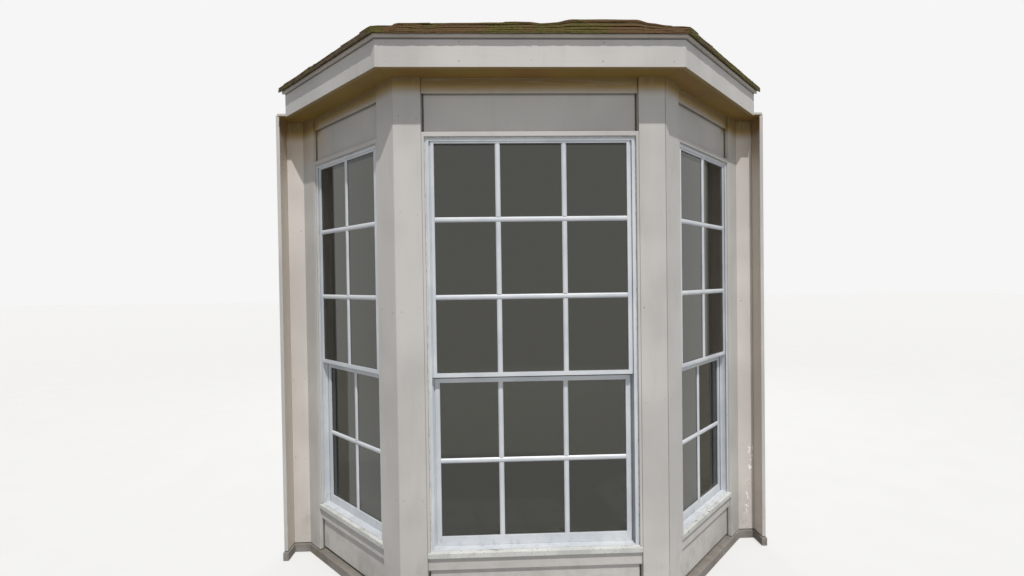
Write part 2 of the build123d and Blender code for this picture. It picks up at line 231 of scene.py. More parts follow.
class Look(Nodes):
    """A material under construction."""

    def __init__(self, name):
        self.material = bpy.data.materials.new(name)
        self.material.use_nodes = True
        super().__init__(self.material.node_tree)
        self.shader = self.node("ShaderNodeBsdfPrincipled")
        self.output = self.node("ShaderNodeOutputMaterial", {"Surface": self.shader.outputs[0]})

    def place(self):
        return self.node("ShaderNodeTexCoord").outputs["Object"]

    def axes(self, vector):
        return self.node("ShaderNodeSeparateXYZ", {0: vector}).outputs

    def facing(self):
        """The x, y and z of the way that the surface faces."""
        return self.axes(self.node("ShaderNodeNewGeometry").outputs["Normal"])

    def stretch(self, vector, scale, turn=0.0):
        inputs = {"Vector": vector, "Rotation": (0, 0, turn), "Scale": scale}
        return self.node("ShaderNodeMapping", inputs).outputs[0]

    def noise(self, vector, scale, detail=3.0, rough=0.55, twist=0.0):
        inputs = {"Vector": vector, "Scale": scale, "Detail": detail}
        inputs.update({"Roughness": rough, "Distortion": twist})
        return self.node("ShaderNodeTexNoise", inputs).outputs[0]

    def cells(self, vector, scale):
        return self.node("ShaderNodeTexVoronoi", {"Vector": vector, "Scale": scale}).outputs["Distance"]

    def band(self, value, low, high, to_low=0.0, to_high=1.0):
        """A smooth step between two values."""
        inputs = {0: value, 1: low, 2: high, 3: to_low, 4: to_high}
        return self.node("ShaderNodeMapRange", inputs, interpolation_type="SMOOTHSTEP").outputs[0]

    def below(self, value, low, high):
        """1 under the lower value and 0 over the higher one."""
        return self.band(value, low, high, 1.0, 0.0)

    def between(self, value, low, high, soft):
        """1 between two values and 0 outside them, with soft edges."""
        return self.product(self.band(value, low, low + soft), self.below(value, high - soft, high))

    def blend(self, share, a, b):
        return self.node("ShaderNodeMix", {0: share, 6: a, 7: b}, data_type="RGBA").outputs[2]

    def two_tone(self, pattern, weak, strong, low=0.35, high=0.65):
        """One colour where a pattern is weak and another where it is strong."""
        return self.blend(self.band(pattern, low, high), weak, strong)

    def cover(self, colour, tone, pattern, low, high, share=1.0):
        """A tone laid thinly over a colour where a pattern is strong."""
        return self.blend(self.band(pattern, low, high, 0.0, share), colour, tone)

    def relief(self, height, strength, distance):
        inputs = {"Height": height, "Strength": strength, "Distance": distance}
        return self.node("ShaderNodeBump", inputs).outputs[0]

    def finish(self, colour, rough, normal=None, **constants):
        self.put(self.shader.inputs["Base Color"], colour)
        self.put(self.shader.inputs["Roughness"], rough)
        if normal is not None:
            self.put(self.shader.inputs["Normal"], normal)
        for key, value in constants.items():
            self.put(self.shader.inputs[key.replace("_", " ")], value)
        return self.material


def shade(colour, factor):
    return tuple(c * factor for c in colour)


# Paint, and the dirt on it, with the painted shade and painted light that the boards take by the eave and the
# wall
PAINT = (0.452, 0.440, 0.426)
# Painted sunlight: the wall boards' paint is a lighter, warmer copy of the boards' paint
SUNLIT_WALL_PAINT = (0.530, 0.495, 0.465)
MOULD_PAINT = (0.43, 0.39, 0.35)
NAIL_PAINT = (0.40, 0.39, 0.375)
# Painted warm shade under the eave, as of light bounced up from the ground: the soffit's brown and its redder
# patches
SOFFIT_SHADE_BROWN = (0.240, 0.152, 0.032)
SOFFIT_REDDER_SHADE = (0.225, 0.110, 0.042)
NAIL_RUST = (0.20, 0.12, 0.06)
# Painted shade and bounce light by the eave and the wall: deeper brown near the soffit, warm shade beside the
# wall, a lighter warm tone and a brown on the return boards' inner faces
DEEP_EAVE_SHADE = (0.165, 0.104, 0.024)
WARM_SHADE = (0.470, 0.385, 0.290)
RETURN_BOUNCE_LIGHT = (0.620, 0.560, 0.490)
RETURN_SHADE_BROWN = (0.300, 0.190, 0.085)
RUN_DIRT = (0.20, 0.185, 0.16)
SPLASH_DIRT = (0.15, 0.125, 0.09)
SPECK_DIRT = (0.22, 0.20, 0.17)
# Dark joint lines, with painted shade under the parts that stand out above them
SEAM_AND_SHADE_DARK = (0.05, 0.045, 0.038)
PRIMER = (0.80, 0.79, 0.75)

# The painted shade ends just under the soffit, so that the boards keep their paint where they run on above it
SHADE_END = (SOFFIT_LEVEL - 0.0020, SOFFIT_LEVEL - 0.0008)


def grain_place(look, grain):
    """Coordinates squeezed along the grain: up, or along one wall, or along each wall in turn."""
    place = look.place()
    along = (0.07, 1.0, 1.0)
    if grain == "up":
        return look.stretch(place, (1.0, 1.0, 0.07))
    turns = {"front": 0.0, "left": TURN, "right": -TURN}
    if grain in turns:
        return look.stretch(place, along, turns[grain])
    x = look.axes(place)[0]
    is_left = look.math("LESS_THAN", x, -0.6)
    is_right = look.math("GREATER_THAN", x, 0.6)
    mixed = look.stretch(place, along)
    for share, turn in ((is_left, TURN), (is_right, -TURN)):
        inputs = {0: share, 4: mixed, 5: look.stretch(place, along, turn)}
        mixed = look.node("ShaderNodeMix", inputs, data_type="VECTOR").outputs[1]
    return mixed


def shade_under_eave(look, place, colour):
    """Painted shade that hangs brown from the soffit, and painted warm bounce light high up on the boards
    beside the wall.
    """
    x, y, z = look.axes(place)
    facing = look.facing()
    # Over 1 on the return boards' outer faces, and under -1 on their inner ones, which look at the bay
    outwards = look.product(facing[0], x)
    return_edge = look.between(y, RETURN_FRONT_Y - 0.0065, RETURN_FRONT_Y + 0.0065, 0.003)
    return_edge = look.product(return_edge, look.below(facing[1], -0.95, -0.90))
    takes_painted_shade = look.product(look.below(outwards, 0.95, 1.10), look.math("SUBTRACT", 1.0, return_edge))
    beside_wall = look.product(look.band(y, 0.20, 0.30), takes_painted_shade)
    return_inside = look.product(beside_wall, look.below(outwards, -1.20, -1.10))
    # Painted bounce light: the return boards' inner faces lighter and warmer
    colour = look.blend(return_inside, colour, RETURN_BOUNCE_LIGHT)
    # Painted warm shade high up beside the wall, stronger on the left than on the right
    high_up = look.product(look.band(z, 2.06, 2.30), look.band(x, -1.0, 1.0, 0.85, 0.35))
    high_up = look.math("MAXIMUM", high_up, look.product(return_inside, look.band(z, 2.00, 2.30)))
    colour = look.blend(look.product(beside_wall, high_up), colour, WARM_SHADE)
    # The painted shade's foot wavers, and hangs lower beside the wall
    drift = look.product(look.math("SUBTRACT", look.noise(place, 4.0, 3.0), 0.5), 0.02)
    level = look.math("ADD", look.math("ADD", z, drift), look.band(y, 0.25, 0.30, 0.0, 0.025))
    eave_shaded = look.product(look.band(level, 2.290, 2.350, 0.0, 0.95), look.below(z, *SHADE_END), takes_painted_shade)
    # None of it on faces that look back or up
    eave_shaded = look.product(eave_shaded, look.below(facing[1], 0.2, 0.5), look.below(facing[2], 0.5, 0.8))
    # The painted shade deepens near the soffit, and is a lighter brown on the return boards' inner faces
    brown = look.two_tone(level, SOFFIT_SHADE_BROWN, DEEP_EAVE_SHADE, 2.336, 2.362)
    brown = look.blend(return_inside, brown, RETURN_SHADE_BROWN)
    return look.blend(eave_shaded, colour, brown)


def shade_under_fascia(look, place, colour):
    """Painted warm shade on the fascia's lower edge, in the soffit's brown."""
    z = look.axes(place)[2]
    edge = look.band(z, FASCIA_BOTTOM + 0.0005, FASCIA_BOTTOM + 0.0020, 0.88, 0.0)
    return look.blend(edge, colour, SOFFIT_SHADE_BROWN)


def shade_of_soffit(look, place, colour):
    """Painted warm shade on the soffit's underside, with redder patches; the soffit's other faces have the
    boards' paint.
    """
    colour = look.cover(colour, SOFFIT_REDDER_SHADE, look.noise(place, 2.7, 4.0, 0.6), 0.48, 0.66, 0.65)
    return look.cover(colour, PAINT, look.facing()[2], -0.6, -0.4)


def flakes_of_wall_board(look, x, z):
    """Where the photograph shows flakes off the right wall board: a thin trail, and a patch above it."""
    share = 0.0
    for x0, x1, z0, z1 in ((1.240, 1.278, 0.12, 0.37), (1.268, 1.300, 0.38, 0.56)):
        spot = look.product(look.between(x, x0, x1, 0.004), look.between(z, z0, z1, 0.02))
        share = look.math("MAXIMUM", share, spot)
    return share


def painted_wood(name, grain, paint, wear=0.3, grime=0.5, painted_shade=shade_under_eave, seam_shade=None, flakes=None):
    """Old house paint over wood: brush marks, raised grain, dirt runs, chips where it peels, and the painted
    light and shade given for the piece.
    """
    look = Look(name)
    place = look.place()
    along = grain_place(look, grain)
    x, _, z = look.axes(place)
    # Broad fading, then runs of dirt that hang down, and the piece's painted light and shade
    fade = look.noise(place, 2.1, 2.0)
    dark = shade(paint, 0.90)
    colour = look.two_tone(fade, dark, shade(paint, 1.07))
    runs = look.noise(look.stretch(place, (1.0, 1.0, 0.16)), 14.0, 5.0, 0.62, 0.4)
    colour = look.cover(colour, RUN_DIRT, runs, 0.50, 0.80, 0.30 * grime)
    colour = painted_shade(look, place, colour)
    # Splash dirt near the ground, and fine specks
    splash = look.band(look.noise(place, 9.0, 5.0, 0.65), 0.40, 0.72, 0.0, 0.75 * grime)
    colour = look.blend(look.product(look.below(z, 0.05, 0.42), splash), colour, SPLASH_DIRT)
    colour = look.cover(colour, SPECK_DIRT, look.noise(place, 210.0, 2.0), 0.66, 0.74, 0.30)
    # Raised grain and brush marks
    fibre = look.noise(along, 95.0, 5.0, 0.6, 0.35)
    brush = look.noise(along, 330.0, 2.0, 0.5)
    colour = look.blend(look.band(fibre, 0.30, 0.55, 0.14, 0.0), colour, dark)
    height = look.math("ADD", fibre, look.product(brush, 0.35))
    # Chips down to grey wood
    chip_edge = 0.735 - 0.10 * wear
    chips = look.band(look.noise(along, 34.0, 8.0, 0.68, 0.6), chip_edge, chip_edge + 0.012)
    bare_wood = look.two_tone(fibre, (0.20, 0.165, 0.125), (0.42, 0.38, 0.32))
    colour = look.blend(chips, colour, bare_wood)
    height = look.math("SUBTRACT", height, look.product(chips, 0.9))
    if flakes:
        # Small flakes off down to the white primer
        scrap = look.noise(look.stretch(place, (1.0, 1.0, 0.55)), 85.0, 3.0, 0.6, 0.3)
        off = look.product(look.band(scrap, 0.585, 0.605), flakes(look, x, z))
        colour = look.blend(off, colour, PRIMER)
        height = look.math("SUBTRACT", height, look.product(off, 0.9))
    if seam_shade:
        # A dark seam line, with painted shade under the part that stands out above it
        low, high, share = seam_shade
        seam_shade_line = look.product(look.between(z, low - 0.001, high + 0.001, 0.001), share)
        colour = look.blend(seam_shade_line, colour, SEAM_AND_SHADE_DARK)
    rough = look.band(fade, 0.3, 0.7, 0.48, 0.62)
    return look.finish(colour, rough, look.relief(height, 0.35, 0.0011), Specular_IOR_Level=0.42)


def painted_nail():
    """House paint over a nail head, with rust that comes through in places."""
    look = Look("painted nails")
    place = look.place()
    z = look.axes(place)[2]
    # Nail heads high under the eave take the painted shade's deep brown
    eave_shaded = look.product(look.band(z, 2.310, 2.345), look.band(z, *SHADE_END, 0.9, 0.0))
    colour = look.blend(eave_shaded, NAIL_PAINT, DEEP_EAVE_SHADE)
    colour = look.cover(colour, NAIL_RUST, look.noise(place, 9.0, 3.0), 0.50, 0.62, 0.55)
    return look.finish(colour, 0.6, look.relief(look.noise(place, 500.0, 2.0), 0.2, 0.0003))


def aluminium():
    """White baked enamel with chalking and dirt in the lower corners."""
    look = Look("white aluminium")
    place = look.place()
    chalk = look.noise(place, 5.0, 3.0)
    # The blue-grey tone, darker than white enamel, is partly painted cool shade
    colour = look.two_tone(chalk, (0.47, 0.50, 0.54), (0.55, 0.575, 0.605))
    dirt = look.noise(look.stretch(place, (1.0, 1.0, 0.6)), 30.0, 5.0, 0.62)
    near_sill = look.band(look.axes(place)[2], 0.32, 0.46, 0.50, 0.09)
    colour = look.blend(look.product(look.band(dirt, 0.50, 0.75), near_sill), colour, (0.28, 0.27, 0.23))
    colour = look.cover(colour, (0.42, 0.40, 0.36), look.noise(place, 160.0, 2.0), 0.68, 0.74, 0.35)
    normal = look.relief(look.noise(place, 420.0, 2.0), 0.06, 0.0004)
    return look.finish(colour, look.band(chalk, 0.3, 0.7, 0.30, 0.44), normal)


def roller_paint(name, paint, bare_back_and_joint_shade=False):
    """Wall paint put on with a roller; with the bare back set, the faces against the house stay bare wood,
    and the framing's front faces are painted dark as the shade in the joints between the boards.
    """
    look = Look(name)
    place = look.place()
    colour = look.two_tone(look.noise(place, 1.7, 2.0), shade(paint, 0.93), paint)
    scuff = look.noise(look.stretch(place, (1.0, 1.0, 0.4)), 14.0, 5.0, 0.7)
    colour = look.cover(colour, (0.45, 0.42, 0.36), scuff, 0.62, 0.8, 0.25)
    if bare_back_and_joint_shade:
        at_back = look.band(look.axes(place)[1], BACK_Y - 0.0010, BACK_Y - 0.0005)
        rings = look.noise(look.stretch(place, (1.0, 1.0, 0.04)), 70.0, 4.0, 0.6, 0.5)
        lumber = look.two_tone(rings, (0.42, 0.28, 0.15), (0.62, 0.46, 0.28))
        colour = look.blend(at_back, colour, lumber)
        # The framing's front face shows only in the joints between the boards, painted dark as painted shade
        # there
        joint_shade_faces = look.below(look.facing()[1], -0.69, -0.62)
        colour = look.blend(joint_shade_faces, colour, (0.125, 0.120, 0.108))
    stipple = look.relief(look.noise(place, 260.0, 3.0, 0.6), 0.18, 0.0008)
    return look.finish(colour, 0.6, stipple, Specular_IOR_Level=0.4)


def plywood():
    """Bare sheathing with long grain and a few patches."""
    look = Look("bare plywood")
    place = look.place()
    along = look.stretch(place, (0.09, 1.0, 1.0))
    rings = look.noise(along, 22.0, 6.0, 0.62, 1.1)
    fine = look.noise(along, 160.0, 3.0)
    colour = look.two_tone(rings, (0.33, 0.215, 0.12), (0.58, 0.44, 0.28), 0.35, 0.66)
    colour = look.cover(colour, (0.30, 0.20, 0.12), fine, 0.35, 0.7, 0.3)
    colour = look.cover(colour, (0.17, 0.13, 0.10), look.noise(place, 3.5, 4.0), 0.55, 0.75, 0.5)
    return look.finish(colour, 0.75, look.relief(look.math("ADD", rings, fine), 0.3, 0.0009))


def weathered_sill():
    """Worn sill paint, with bare grey wood, dirt and green stains."""
    look = Look("weathered sill")
    place = look.place()
    along = grain_place(look, "each")
    fibre = look.noise(along, 85.0, 6.0, 0.62, 0.5)
    colour = look.two_tone(look.noise(place, 6.0, 4.0), (0.42, 0.43, 0.415), (0.52, 0.525, 0.51))
    chips = look.band(look.noise(along, 30.0, 8.0, 0.7, 0.8), 0.605, 0.625)
    bare_wood = look.two_tone(fibre, (0.17, 0.145, 0.115), (0.40, 0.37, 0.31), 0.35, 0.62)
    colour = look.blend(chips, colour, bare_wood)
    colour = look.cover(colour, (0.20, 0.20, 0.12), look.noise(place, 13.0, 5.0, 0.65), 0.55, 0.75, 0.5)
    colour = look.cover(colour, (0.10, 0.09, 0.07), look.noise(place, 120.0, 3.0), 0.60, 0.68, 0.6)
    height = look.math("SUBTRACT", fibre, look.product(chips, 0.8))
    return look.finish(colour, 0.7, look.relief(height, 0.5, 0.0014), Specular_IOR_Level=0.3)


def concrete():
    """Broom-finished slab edge with pits, sand and rust-brown soil stains."""
    look = Look("concrete")
    place = look.place()
    cloud = look.noise(place, 5.0, 5.0, 0.6)
    sand = look.noise(place, 380.0, 3.0, 0.7)
    pits = look.band(look.cells(place, 75.0), 0.05, 0.16)
    colour = look.two_tone(cloud, (0.135, 0.122, 0.105), (0.235, 0.218, 0.198))
    colour = look.cover(colour, (0.30, 0.285, 0.26), sand, 0.4, 0.7, 0.30)
    colour = look.cover(colour, (0.09, 0.072, 0.05), look.noise(place, 11.0, 5.0, 0.7), 0.5, 0.72, 0.6)
    height = look.math("ADD", look.product(sand, 0.5), look.product(pits, 0.8))
    return look.finish(colour, 0.86, look.relief(height, 0.5, 0.002))


# Where the photograph shows moss, or little of it, along the eaves: middle in x, reach and how much more
MOSS_PLACES = (
    (-0.960, 0.290, -0.10),
    (-0.640, 0.045, 0.30),
    (-0.420, 0.160, -0.10),
    (0.160, 0.200, 0.14),
    (0.460, 0.120, -0.06),
    (0.685, 0.045, 0.30),
    (0.980, 0.290, 0.12),
)


def mossy_shingle():
    """Mineral granules, worn and stained, with moss spreading in patches."""
    look = Look("mossy shingles")
    place = look.place()
    x, y, z = look.axes(place)
    colour = look.two_tone(look.noise(place, 300.0, 2.0), (0.050, 0.039, 0.024), (0.150, 0.122, 0.078))
    # Rust-brown in patches, and along the front eave's edge
    front_edge = look.band(y, -0.385, -0.375, 0.9, 0.0)
    rusty = look.math("MAXIMUM", look.band(look.noise(place, 19.0, 4.0), 0.45, 0.7), front_edge)
    colour = look.blend(look.product(rusty, 0.65), colour, (0.140, 0.070, 0.024))
    grown = look.noise(place, 7.0, 5.0, 0.65)
    near_eave = look.below(z, EAVE_TOP + 0.005, EAVE_TOP + 0.017)
    for middle, reach, more in MOSS_PLACES:
        away = look.math("ABSOLUTE", look.math("SUBTRACT", x, middle))
        patch = look.band(away, reach * 0.5, reach, more, 0.0)
        grown = look.math("ADD", grown, look.product(patch, near_eave))
    moss_share = look.band(grown, 0.46, 0.60)
    fuzz = look.noise(place, 150.0, 4.0, 0.7)
    green = look.two_tone(fuzz, (0.054, 0.051, 0.011), (0.140, 0.127, 0.030), 0.3, 0.7)
    colour = look.blend(look.product(moss_share, 0.75), colour, green)
    granules = look.product(look.cells(place, 520.0), -0.6)
    height = look.math("ADD", granules, look.product(moss_share, fuzz))
    return look.finish(colour, 0.92, look.relief(height, 0.6, 0.0022), Specular_IOR_Level=0.25)


def moss_cushion():
    """Tufts of moss, brown where they are dry."""
    look = Look("moss")
    place = look.place()
    tuft = look.noise(place, 240.0, 4.0, 0.75)
    colour = look.two_tone(tuft, (0.055, 0.06, 0.015), (0.26, 0.25, 0.075), 0.3, 0.7)
    colour = look.cover(colour, (0.17, 0.115, 0.05), look.noise(place, 18.0, 3.0), 0.45, 0.65)
    return look.finish(colour, 0.95, look.relief(tuft, 0.8, 0.004), Specular_IOR_Level=0.2)


def window_glass():
    """Old clear panes, tinted near black as painted shade for the dark room beyond them: a slight waviness
    and a film of dust; lamps reach through them.
    """
    look = Look("window glass")
    place = look.place()
    wave = look.relief(look.noise(place, 2.6, 1.0), 0.05, 0.01)
    dusty = look.band(look.noise(place, 12.0, 5.0, 0.7), 0.5, 0.8, 0.0, 0.05)
    # The near-black tint is painted shade for the dark room beyond the panes
    look.finish((0.055, 0.055, 0.046), dusty, wave, Transmission_Weight=1.0, IOR=1.45)
    clear = look.node("ShaderNodeBsdfTransparent", {"Color": (0.70, 0.74, 0.72)})
    lamp = look.node("ShaderNodeLightPath").outputs["Is Shadow Ray"]
    mix = look.node("ShaderNodeMixShader", {0: lamp, 1: look.shader.outputs[0], 2: clear.outputs[0]})
    look.put(look.output.inputs["Surface"], mix.outputs[0])
    return look.material


def gritty(name, scale, detail, rough, low, tones, strength, distance):
    """A soft filler that has gathered grit: gasket rubber, pile or caulk."""
    look = Look(name)
    grit = look.noise(look.place(), scale, detail, rough)
    colour = look.two_tone(grit, *tones, low, 0.7)
    return look.finish(colour, 0.6, look.relief(grit, strength, distance))


# The seams under the frieze and over the fascia: dark joint lines with painted shade under the part that
# stands out above; where each dark line starts and ends, and how dark it is
FRIEZE_SEAM_SHADE = (FRIEZE_BOTTOM - 0.0045, FRIEZE_BOTTOM, 0.45)
FASCIA_SEAM_SHADE = (MOULD_BOTTOM - 0.0050, MOULD_BOTTOM, 0.75)

RUBBER_TONES = ((0.06, 0.062, 0.065), (0.16, 0.16, 0.15))
CAULK_TONES = ((0.62, 0.61, 0.58), (0.33, 0.31, 0.27))

upright = painted_wood("painted boards", "up", PAINT, wear=0.25)
# The wall boards' lighter, warmer paint is painted sunlight
peeling = painted_wood("peeling boards", "up", SUNLIT_WALL_PAINT, wear=0.2, flakes=flakes_of_wall_board)
rails = painted_wood("painted rails", "each", PAINT, wear=0.25, seam_shade=FRIEZE_SEAM_SHADE)
mould = painted_wood("mould strip", "each", MOULD_PAINT, wear=0.45, grime=0.8, painted_shade=shade_under_fascia)
white = aluminium()
glass = window_glass()
lining = roller_paint("lining paint", (0.72, 0.70, 0.61), bare_back_and_joint_shade=True)
gloss = roller_paint("stool paint", (0.80, 0.80, 0.77))
shingle = mossy_shingle()
moss = moss_cushion()
gasket = gritty("glazing gasket", 140.0, 3.0, 0.55, 0.4, RUBBER_TONES, 0.2, 0.0005)
caulk = gritty("old caulk", 45.0, 5.0, 0.7, 0.45, CAULK_TONES, 0.3, 0.001)
nail_look = painted_nail()

# The look of each CAD node, by its name or by its name without the wall; the rest are upright boards
LOOKS = {
    "window_frame": white,
    "upper_sash": white,
    "lower_sash": white,
    "window_glass": glass,
    "window_sill": weathered_sill(),
    "knee_wall": lining,
    "header": lining,
    "corner_post": lining,
    "wall_post": lining,
    "apron_panels": rails,
    "head_panels": rails,
    "frieze_boards": rails,
    "apron_mouldings": rails,
    "window_trim": rails,
    "wall_boards": peeling,
    "eave_mould": mould,
    "ceiling": gloss,
    "window_stools": gloss,
    "roof_wall_board": plywood(),
    "foundation_slab": concrete(),
}
for wall in WALLS:
    fascia = painted_wood(f"fascia {wall}", wall, PAINT, painted_shade=shade_under_fascia, seam_shade=FASCIA_SEAM_SHADE)
    # The soffit's brown is painted warm shade
    soffit = painted_wood(f"soffit {wall}", wall, SOFFIT_SHADE_BROWN, wear=0.1, grime=0.4, painted_shade=shade_of_soffit)
    LOOKS.update({f"fascia_{wall}": fascia, f"soffit_{wall}": soffit})

# How far the edges are rounded; the roof nodes are stood for by decks, and the panes' edges are hidden
ROUNDINGS = {
    "foundation_slab": 0.004,
    "window_sill": 0.003,
    "window_trim": 0.0025,
    "window_frame": 0.0008,
    "upper_sash": 0.0008,
    "lower_sash": 0.0008,
    "window_glass": 0.0,
    "roof": 0.0,
}
BOARD_ROUNDING = 0.0018

for name, obj in nodes.items():
    kind = name.rsplit("_", 1)[0]
    obj.data.materials.clear()
    obj.data.materials.append(LOOKS.get(name, LOOKS.get(kind, upright)))
    rounding = ROUNDINGS.get(name, ROUNDINGS.get(kind, BOARD_ROUNDING))
    if rounding:
        weld = obj.modifiers.new("weld", "WELD")
        weld.merge_threshold = 0.00001
        flat_faces = obj.modifiers.new("flat", "DECIMATE")
        flat_faces.decimate_type = "DISSOLVE"
        flat_faces.angle_limit = math.radians(0.5)
        soften(obj, rounding)


# Window bars, glazing beads, caulk and weatherstrips

# The clearance between small pieces that meet
JOINT = 0.0002

BAR_HALF = 0.011
BAR_HEIGHT = 0.006
BAR_SIDE = ((-1.0, 0.0), (-1.0, 0.22), (-0.90, 0.38), (-0.60, 0.90), (-0.50, 1.0))
BAR_SECTION = BAR_SIDE + tuple((-w, h) for w, h in reversed(BAR_SIDE))
BAR_LEVELS = {"upper": (1.4220, 1.7630), "lower": (0.6880,)}
BAR_COLUMNS = {"front": (-0.1465, 0.1465), "left": (0.0,), "right": (0.0,)}

# The pile strip's foot and head, and how far in from the recess it starts
STRIP_LOW = 1.0596
STRIP_HIGH = 1.0634
STRIP_INSET = 0.034


def pane(face, low, high, inset):
    """The edges of a pane and the depths of its two faces."""
    outer = face + PANE_IN_SASH
    return {"low": low, "high": high, "inset": inset, "outer": outer, "inner": outer + PANE_THICKNESS}


PANES = {"upper": pane(UPPER_FACE, 1.088, 2.096, 0.052), "lower": pane(LOWER_FACE, 0.349, 1.040, 0.059)}


def bar(shape, wall, start, end, centre, depth, out, upright_bar):
    """One bar on a glass face, from start to end; out is -1 on the outer face and 1 on the inner one."""
    rings = []
    for position in (start, end):
        ring = []
        for w, h in BAR_SECTION:
            offset = centre + w * BAR_HALF
            y = depth + out * h * BAR_HEIGHT
            local = (offset, y, position) if upright_bar else (position, y, offset)
            ring.append(WALLS[wall] @ Vector(local))
        rings.append(ring)
    shape.loft(rings)


def window_bars(wall, name, sash):
    """The level bars run through, and the upright ones are cut between them."""
    shape = Shape()
    half = RECESS[wall] / 2 - sash["inset"]
    levels = BAR_LEVELS[name]
    stops = [sash["low"]] + [level + s * BAR_HALF for level in levels for s in (-1, 1)] + [sash["high"]]
    for depth, out in ((sash["outer"], -1), (sash["inner"], 1)):
        for level in levels:
            bar(shape, wall, -half + JOINT, half - JOINT, level, depth, out, False)
        for centre in BAR_COLUMNS[wall]:
            for low, high in zip(stops[::2], stops[1::2]):
                bar(shape, wall, low + JOINT, high - JOINT, centre, depth, out, True)
    piece(f"window_bars_{name}_{wall}", shape, white)


def stick_ring(shape, wall, half, low, high, section):
    """Four mitred sticks round an opening; the section holds (distance inwards, depth) points."""
    corners = [(-1, low, 1), (1, low, 1), (1, high, -1), (-1, high, -1)]
    for i, start in enumerate(corners):
        shorter_x, shorter_z = (0.0, JOINT) if i % 2 else (JOINT, 0.0)
        rings = []
        for side, z, up in (start, corners[(i + 1) % 4]):
            ring = []
            for inwards, depth in section:
                x = side * (half - inwards - shorter_x)
                ring.append(WALLS[wall] @ Vector((x, depth, z + up * (inwards + shorter_z))))
            rings.append(ring)
        shape.loft(rings)


def glazing(wall, name, sash):
    """The gasket line outside and the bead inside each pane."""
    half = RECESS[wall] / 2 - sash["inset"]
    line = Shape()
    face = sash["outer"] - JOINT
    section = ((-0.0001, face), (0.0016, face), (0.0012, face - 0.0012), (-0.0001, face - 0.0016))
    stick_ring(line, wall, half - JOINT, sash["low"] + JOINT, sash["high"] - JOINT, section)
    piece(f"gasket_{name}_{wall}", line, gasket)
    bead = Shape()
    back = sash["inner"] + JOINT
    top = back + 0.0058
    reach = 0.0036
    section = ((0.0, back), (reach, back), (reach, back + 0.0015), (0.0012, top), (0.0, top))
    stick_ring(bead, wall, half + reach, sash["low"] - reach, sash["high"] + reach, section)
    piece(f"glazing_bead_{name}_{wall}", bead, white)


def caulk_line(wall):
    """A thin wavering fillet where the wooden stop meets the aluminium frame, up, across and down."""
    shape = Shape()
    half = RECESS[wall] / 2 - TRIM_WIDTH
    foot = SILL_BACK + 0.001
    size = 0.0035
    up_steps, across_steps = 60, 30
    climb = [(TRIM_HEAD - foot) * i / up_steps for i in range(up_steps + 1)]
    left = [(-half, foot + rise, 1, 0) for rise in climb]
    head = [(-half + 2 * half * i / across_steps, TRIM_HEAD, 0, -1) for i in range(across_steps + 1)]
    right = [(half, TRIM_HEAD - fall, -1, 0) for fall in climb]
    for run in (left, head, right):
        rings = []
        for x, z, dx, dz in run:
            reach = size * (0.75 + 0.5 * noise.noise(Vector((x * 30, z * 30, 3.1))))
            hollow = reach * 0.35
            local = [
                (x - dx * JOINT, FLANGE_FACE, z - dz * JOINT),
                (x + dx * reach, FLANGE_FACE, z + dz * reach),
                (x + dx * hollow, FLANGE_FACE - hollow, z + dz * hollow),
                (x - dx * JOINT, FLANGE_FACE - reach, z - dz * JOINT),
            ]
            rings.append([WALLS[wall] @ Vector(p) for p in local])
        shape.loft(rings)
    piece(f"caulk_{wall}", shape, caulk)


def weatherstrip(wall):
    """The dark pile strip where the two sashes meet."""
    shape = Shape()
    half = RECESS[wall] / 2 - STRIP_INSET
    face = LOWER_FACE - JOINT
    low_edge = (face - 0.0016, STRIP_LOW + 0.0004)
    high_edge = (face - 0.0022, STRIP_HIGH - 0.0006)
    section = ((face, STRIP_LOW), low_edge, high_edge, (face, STRIP_HIGH))
    shape.loft([[WALLS[wall] @ Vector((x, y, z)) for y, z in section] for x in (-half, half)])
    piece(f"weatherstrip_{wall}", shape, gasket)


# Nails

# The nails up the boards: their levels, and their places in x or from the corner along a side
BOARD_NAIL_LEVELS = [0.11 + 0.42 * i for i in range(6)]
FRONT_BOARD_NAILS = (-0.496, -0.575, 0.496, 0.575)
WALL_BOARD_NAILS = (-1.285, -1.233, 1.233, 1.285)
SIDE_BOARD_NAILS = (0.024, 0.108, CORNER_SIDE + SIDE_RECESS + 0.020, SIDE_LENGTH - 0.024)

# The rows along the fascia and the frieze: their levels, how many nails each has and where they end
FASCIA_NAIL_LEVELS = (2.392, 2.470)
FASCIA_NAILS = 5
SIDE_FASCIA_HALF = 0.36
FRIEZE_NAIL_LEVELS = (2.345,)
FRIEZE_NAILS = 4
FRIEZE_NAIL_INSET = 0.04


def nail(shape, wall, x, depth, z, rng):
    """A round nail head, painted over, a little proud of its board."""
    x += rng.uniform(-0.004, 0.004)
    z += rng.uniform(-0.012, 0.012)
    proud = rng.uniform(0.0003, 0.0007)
    sides = 12
    rings = []
    for radius, y in ((0.0036, depth + 0.0002), (0.0034, depth - proud * 0.6), (0.0022, depth - proud)):
        ring = []
        for k in range(sides):
            angle = k * math.tau / sides
            local = (x + radius * math.cos(angle), y, z + radius * math.sin(angle))
            ring.append(WALLS[wall] @ Vector(local))
        rings.append(ring)
    shape.loft(rings)


def nail_row(shape, wall, half, count, depth, levels, rng):
    """Nails spaced evenly along a board, at each level."""
    for i in range(count):
        for level in levels:
            nail(shape, wall, -half + 2 * half * i / (count - 1), depth, level, rng)


